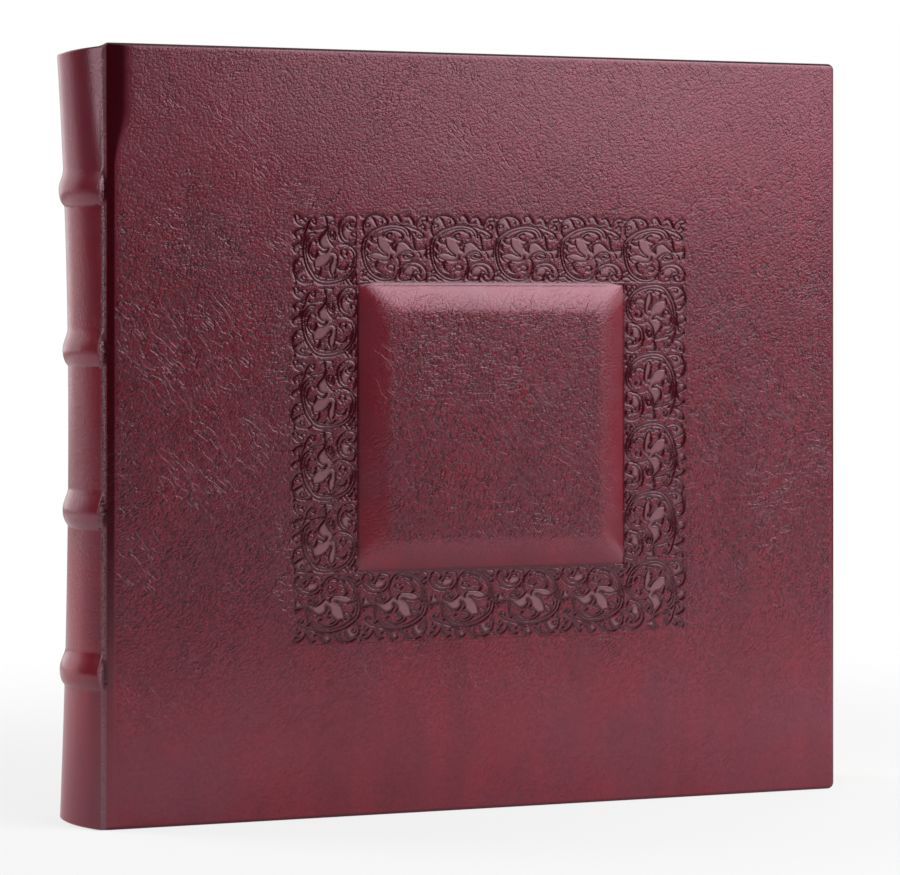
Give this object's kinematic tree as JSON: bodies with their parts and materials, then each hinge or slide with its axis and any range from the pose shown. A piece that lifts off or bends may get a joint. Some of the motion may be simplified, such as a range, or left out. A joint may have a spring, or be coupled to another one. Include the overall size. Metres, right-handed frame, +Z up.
{
  "type": "photo album",
  "caption": "Large square photo album in antiqued burgundy leather, with raised bands on a rounded spine and a padded square panel in a stamped scroll border.",
  "frame": {"origin": "under the middle of the closed, upright album: the bottom centre of its box", "axes": "+X runs along the covers from the spine to the fore edge, +Y from the front cover to the back cover, +Z up the spine"},
  "size_m": [0.3632, 0.0552, 0.34],
  "materials": {
    "burgundy_leather": "antiqued semi-gloss grain",
    "grey_board": "matte",
    "manila_card": "matte",
    "felt_pad": "soft pad",
    "band_core": "undyed strip",
    "endpaper": "marbled, matte",
    "linen": "plain weave",
    "silk_bead": "two-colour woven bead",
    "ivory_leaf": "matte laid card"
  },
  "bodies": {
    "book_block": {"spine_leather": "burgundy_leather", "spine_stiffener": "grey_board", "hollow_tube": "manila_card", "spine_lining": "linen", "sewing_tapes": "linen", "sewing_cords": "linen", "headband": "silk_bead", "tailband": "silk_bead", "bound_stubs": "ivory_leaf", "guard_strips": "ivory_leaf", "raised_band_1": "band_core", "raised_band_2": "band_core", "raised_band_3": "band_core", "raised_band_4": "band_core"},
    "front_cover": {"front_leather": "burgundy_leather", "front_board": "grey_board", "panel_pad": "felt_pad", "front_infill": "manila_card", "front_pastedown": "endpaper"},
    "back_cover": {"back_leather": "burgundy_leather", "back_board": "grey_board", "back_infill": "manila_card", "back_pastedown": "endpaper"},
    "front_flyleaf_sheet": {"front_flyleaf": "endpaper"},
    "leaf_01_sheet": {"leaf_01": "ivory_leaf"},
    "leaf_02_sheet": {"leaf_02": "ivory_leaf"},
    "leaf_03_sheet": {"leaf_03": "ivory_leaf"},
    "leaf_04_sheet": {"leaf_04": "ivory_leaf"},
    "leaf_05_sheet": {"leaf_05": "ivory_leaf"},
    "leaf_06_sheet": {"leaf_06": "ivory_leaf"},
    "leaf_07_sheet": {"leaf_07": "ivory_leaf"},
    "leaf_08_sheet": {"leaf_08": "ivory_leaf"},
    "leaf_09_sheet": {"leaf_09": "ivory_leaf"},
    "leaf_10_sheet": {"leaf_10": "ivory_leaf"},
    "leaf_11_sheet": {"leaf_11": "ivory_leaf"},
    "leaf_12_sheet": {"leaf_12": "ivory_leaf"},
    "leaf_13_sheet": {"leaf_13": "ivory_leaf"},
    "leaf_14_sheet": {"leaf_14": "ivory_leaf"},
    "leaf_15_sheet": {"leaf_15": "ivory_leaf"},
    "leaf_16_sheet": {"leaf_16": "ivory_leaf"},
    "leaf_17_sheet": {"leaf_17": "ivory_leaf"},
    "leaf_18_sheet": {"leaf_18": "ivory_leaf"},
    "leaf_19_sheet": {"leaf_19": "ivory_leaf"},
    "leaf_20_sheet": {"leaf_20": "ivory_leaf"},
    "leaf_21_sheet": {"leaf_21": "ivory_leaf"},
    "leaf_22_sheet": {"leaf_22": "ivory_leaf"},
    "leaf_23_sheet": {"leaf_23": "ivory_leaf"},
    "leaf_24_sheet": {"leaf_24": "ivory_leaf"},
    "back_flyleaf_sheet": {"back_flyleaf": "endpaper"}
  },
  "joints": [
    {"name": "front_cover_hinge", "type": "hinge", "parent": "book_block", "child": "front_cover", "pos_m": [-0.1685, -0.02385, 0.17], "axis": [0, 0, -1], "range_deg": [0, 180]},
    {"name": "back_cover_hinge", "type": "hinge", "parent": "book_block", "child": "back_cover", "pos_m": [-0.1685, 0.02745, 0.17], "axis": [0, 0, 1], "range_deg": [0, 180]},
    {"name": "front_flyleaf_hinge", "type": "hinge", "parent": "book_block", "child": "front_flyleaf_sheet", "pos_m": [-0.15875, -0.01845, 0.17], "axis": [0, 0, -1], "range_deg": [0, 129]},
    {"name": "leaf_01_hinge", "type": "hinge", "parent": "book_block", "child": "leaf_01_sheet", "pos_m": [-0.15725, -0.01742, 0.17], "axis": [0, 0, -1], "range_deg": [0, 128]},
    {"name": "leaf_02_hinge", "type": "hinge", "parent": "book_block", "child": "leaf_02_sheet", "pos_m": [-0.15545, -0.01578, 0.17], "axis": [0, 0, -1], "range_deg": [0, 117.4]},
    {"name": "leaf_03_hinge", "type": "hinge", "parent": "book_block", "child": "leaf_03_sheet", "pos_m": [-0.1541, -0.01413, 0.17], "axis": [0, 0, -1], "range_deg": [0, 106.7]},
    {"name": "leaf_04_hinge", "type": "hinge", "parent": "book_block", "child": "leaf_04_sheet", "pos_m": [-0.15311, -0.01247, 0.17], "axis": [0, 0, -1], "range_deg": [0, 96]},
    {"name": "leaf_05_hinge", "type": "hinge", "parent": "book_block", "child": "leaf_05_sheet", "pos_m": [-0.15242, -0.01082, 0.17], "axis": [0, 0, -1], "range_deg": [0, 85.4]},
    {"name": "leaf_06_hinge", "type": "hinge", "parent": "book_block", "child": "leaf_06_sheet", "pos_m": [-0.15195, -0.00918, 0.17], "axis": [0, 0, -1], "range_deg": [0, 74.7]},
    {"name": "leaf_07_hinge", "type": "hinge", "parent": "book_block", "child": "leaf_07_sheet", "pos_m": [-0.15166, -0.00752, 0.17], "axis": [0, 0, -1], "range_deg": [0, 64]},
    {"name": "leaf_08_hinge", "type": "hinge", "parent": "book_block", "child": "leaf_08_sheet", "pos_m": [-0.15149, -0.00588, 0.17], "axis": [0, 0, -1], "range_deg": [0, 53.4]},
    {"name": "leaf_09_hinge", "type": "hinge", "parent": "book_block", "child": "leaf_09_sheet", "pos_m": [-0.1514, -0.00422, 0.17], "axis": [0, 0, -1], "range_deg": [0, 42.7]},
    {"name": "leaf_10_hinge", "type": "hinge", "parent": "book_block", "child": "leaf_10_sheet", "pos_m": [-0.15136, -0.00258, 0.17], "axis": [0, 0, -1], "range_deg": [0, 32]},
    {"name": "leaf_11_hinge", "type": "hinge", "parent": "book_block", "child": "leaf_11_sheet", "pos_m": [-0.15135, -0.00093, 0.17], "axis": [0, 0, -1], "range_deg": [0, 21.4]},
    {"name": "leaf_12_hinge", "type": "hinge", "parent": "book_block", "child": "leaf_12_sheet", "pos_m": [-0.15135, 0.00072, 0.17], "axis": [0, 0, -1], "range_deg": [0, 10.7]},
    {"name": "leaf_13_hinge", "type": "hinge", "parent": "book_block", "child": "leaf_13_sheet", "pos_m": [-0.15135, 0.00287, 0.17], "axis": [0, 0, 1], "range_deg": [0, 10.7]},
    {"name": "leaf_14_hinge", "type": "hinge", "parent": "book_block", "child": "leaf_14_sheet", "pos_m": [-0.15135, 0.00453, 0.17], "axis": [0, 0, 1], "range_deg": [0, 21.4]},
    {"name": "leaf_15_hinge", "type": "hinge", "parent": "book_block", "child": "leaf_15_sheet", "pos_m": [-0.15136, 0.00617, 0.17], "axis": [0, 0, 1], "range_deg": [0, 32]},
    {"name": "leaf_16_hinge", "type": "hinge", "parent": "book_block", "child": "leaf_16_sheet", "pos_m": [-0.1514, 0.00783, 0.17], "axis": [0, 0, 1], "range_deg": [0, 42.7]},
    {"name": "leaf_17_hinge", "type": "hinge", "parent": "book_block", "child": "leaf_17_sheet", "pos_m": [-0.15149, 0.00948, 0.17], "axis": [0, 0, 1], "range_deg": [0, 53.4]},
    {"name": "leaf_18_hinge", "type": "hinge", "parent": "book_block", "child": "leaf_18_sheet", "pos_m": [-0.15166, 0.01112, 0.17], "axis": [0, 0, 1], "range_deg": [0, 64]},
    {"name": "leaf_19_hinge", "type": "hinge", "parent": "book_block", "child": "leaf_19_sheet", "pos_m": [-0.15195, 0.01277, 0.17], "axis": [0, 0, 1], "range_deg": [0, 74.7]},
    {"name": "leaf_20_hinge", "type": "hinge", "parent": "book_block", "child": "leaf_20_sheet", "pos_m": [-0.15242, 0.01443, 0.17], "axis": [0, 0, 1], "range_deg": [0, 85.4]},
    {"name": "leaf_21_hinge", "type": "hinge", "parent": "book_block", "child": "leaf_21_sheet", "pos_m": [-0.15311, 0.01607, 0.17], "axis": [0, 0, 1], "range_deg": [0, 96]},
    {"name": "leaf_22_hinge", "type": "hinge", "parent": "book_block", "child": "leaf_22_sheet", "pos_m": [-0.1541, 0.01773, 0.17], "axis": [0, 0, 1], "range_deg": [0, 106.7]},
    {"name": "leaf_23_hinge", "type": "hinge", "parent": "book_block", "child": "leaf_23_sheet", "pos_m": [-0.15545, 0.01937, 0.17], "axis": [0, 0, 1], "range_deg": [0, 117.4]},
    {"name": "leaf_24_hinge", "type": "hinge", "parent": "book_block", "child": "leaf_24_sheet", "pos_m": [-0.15725, 0.02102, 0.17], "axis": [0, 0, 1], "range_deg": [0, 128]},
    {"name": "back_flyleaf_hinge", "type": "hinge", "parent": "book_block", "child": "back_flyleaf_sheet", "pos_m": [-0.15875, 0.02205, 0.17], "axis": [0, 0, 1], "range_deg": [0, 129]}
  ],
  "couplings": [
    {"joint": "front_flyleaf_hinge", "follows": "front_cover_hinge", "ratio": 0.71667},
    {"joint": "leaf_01_hinge", "follows": "front_cover_hinge", "ratio": 0.71111},
    {"joint": "leaf_02_hinge", "follows": "front_cover_hinge", "ratio": 0.65185},
    {"joint": "leaf_03_hinge", "follows": "front_cover_hinge", "ratio": 0.59259},
    {"joint": "leaf_04_hinge", "follows": "front_cover_hinge", "ratio": 0.53333},
    {"joint": "leaf_05_hinge", "follows": "front_cover_hinge", "ratio": 0.47407},
    {"joint": "leaf_06_hinge", "follows": "front_cover_hinge", "ratio": 0.41481},
    {"joint": "leaf_07_hinge", "follows": "front_cover_hinge", "ratio": 0.35556},
    {"joint": "leaf_08_hinge", "follows": "front_cover_hinge", "ratio": 0.2963},
    {"joint": "leaf_09_hinge", "follows": "front_cover_hinge", "ratio": 0.23704},
    {"joint": "leaf_10_hinge", "follows": "front_cover_hinge", "ratio": 0.17778},
    {"joint": "leaf_11_hinge", "follows": "front_cover_hinge", "ratio": 0.11852},
    {"joint": "leaf_12_hinge", "follows": "front_cover_hinge", "ratio": 0.05926},
    {"joint": "leaf_13_hinge", "follows": "back_cover_hinge", "ratio": 0.05926},
    {"joint": "leaf_14_hinge", "follows": "back_cover_hinge", "ratio": 0.11852},
    {"joint": "leaf_15_hinge", "follows": "back_cover_hinge", "ratio": 0.17778},
    {"joint": "leaf_16_hinge", "follows": "back_cover_hinge", "ratio": 0.23704},
    {"joint": "leaf_17_hinge", "follows": "back_cover_hinge", "ratio": 0.2963},
    {"joint": "leaf_18_hinge", "follows": "back_cover_hinge", "ratio": 0.35556},
    {"joint": "leaf_19_hinge", "follows": "back_cover_hinge", "ratio": 0.41481},
    {"joint": "leaf_20_hinge", "follows": "back_cover_hinge", "ratio": 0.47407},
    {"joint": "leaf_21_hinge", "follows": "back_cover_hinge", "ratio": 0.53333},
    {"joint": "leaf_22_hinge", "follows": "back_cover_hinge", "ratio": 0.59259},
    {"joint": "leaf_23_hinge", "follows": "back_cover_hinge", "ratio": 0.65185},
    {"joint": "leaf_24_hinge", "follows": "back_cover_hinge", "ratio": 0.71111},
    {"joint": "back_flyleaf_hinge", "follows": "back_cover_hinge", "ratio": 0.71667}
  ]
}
